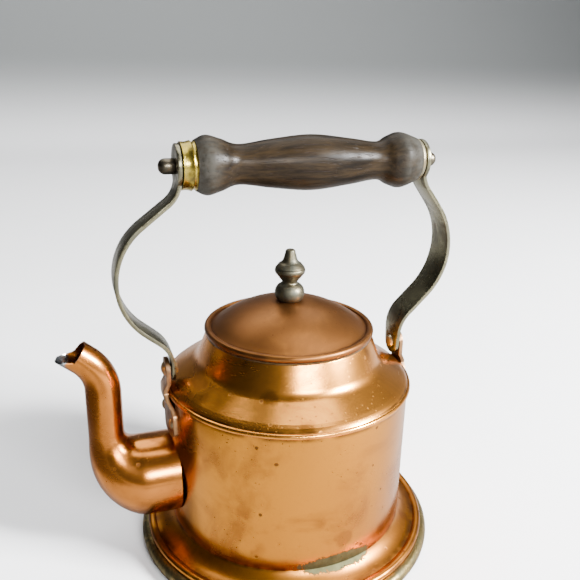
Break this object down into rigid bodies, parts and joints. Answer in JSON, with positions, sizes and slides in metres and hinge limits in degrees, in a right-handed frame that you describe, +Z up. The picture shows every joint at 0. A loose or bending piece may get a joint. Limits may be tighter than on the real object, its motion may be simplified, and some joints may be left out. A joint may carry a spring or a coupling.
{
  "type": "copper kettle",
  "caption": "Spun copper kettle with a swan-neck spout, lift-off domed lid and turned finial, wired foot, and a swinging brass bail with a turned wooden grip.",
  "frame": {"origin": "centre of the flat underside, on the surface it stands on", "axes": "+Z up, the spout points along -X, the bail swings about X"},
  "size_m": [0.1781, 0.1404, 0.1896],
  "materials": {
    "copper_body": "polished copper, worn and spotted",
    "copper_foot": "polished copper, worn",
    "copper_shoulder": "polished copper, spotted",
    "copper_spout": "polished copper, browned",
    "copper_lid": "dull browned copper",
    "copper_collar": "dull copper",
    "brass_base": "dark tarnished brass",
    "brass_ring": "tarnished brass",
    "brass_ear": "tarnished brass",
    "brass_rivet": "tarnished brass",
    "brass_strap": "tarnished brass",
    "brass_nut": "dark tarnished brass",
    "brass_washer": "tarnished brass",
    "brass_ferrule": "bright brass",
    "brass_finial": "grey-green tarnished brass",
    "steel_wire": "drawn wire",
    "steel_rod": "plain rod",
    "grip_wood": "dark varnished turned wood"
  },
  "bodies": {
    "kettle": {"body_drum": "copper_body", "foot_skirt": "copper_foot", "base_pan": "brass_base", "base_wire": "steel_wire", "shoulder": "copper_shoulder", "mouth_ring": "brass_ring", "spout": "copper_spout", "ear_front": "brass_ear", "ear_rear": "brass_ear", "ear_rivets_front": "brass_rivet", "ear_rivets_rear": "brass_rivet", "pivot_rivet_front": "brass_rivet", "pivot_rivet_rear": "brass_rivet"},
    "bail": {"strap_front": "brass_strap", "strap_rear": "brass_strap", "cap_nut_front": "brass_nut", "cap_nut_rear": "brass_nut", "handle_rod": "steel_rod", "rear_washer": "brass_washer"},
    "grip": {"wood_grip": "grip_wood", "ferrule_front": "brass_ferrule"},
    "lid": {"lid_dome": "copper_lid", "lid_collar": "copper_collar", "lid_wire": "steel_wire", "lid_finial": "brass_finial", "finial_stud": "steel_rod", "finial_washer": "brass_washer", "finial_nut": "brass_nut"}
  },
  "joints": [
    {"name": "bail_swing", "type": "hinge", "parent": "kettle", "child": "bail", "pos_m": [0, 0, 0.0898], "axis": [1, 0, 0], "range_deg": [-85, 85]},
    {"name": "grip_spin", "type": "hinge", "parent": "bail", "child": "grip", "pos_m": [0, 0, 0.1775], "axis": [1, 0, 0], "continuous": true},
    {"name": "lid_lift", "type": "slide", "parent": "kettle", "child": "lid", "axis": [0, 0, 1], "range_m": [0, 0.024]}
  ]
}
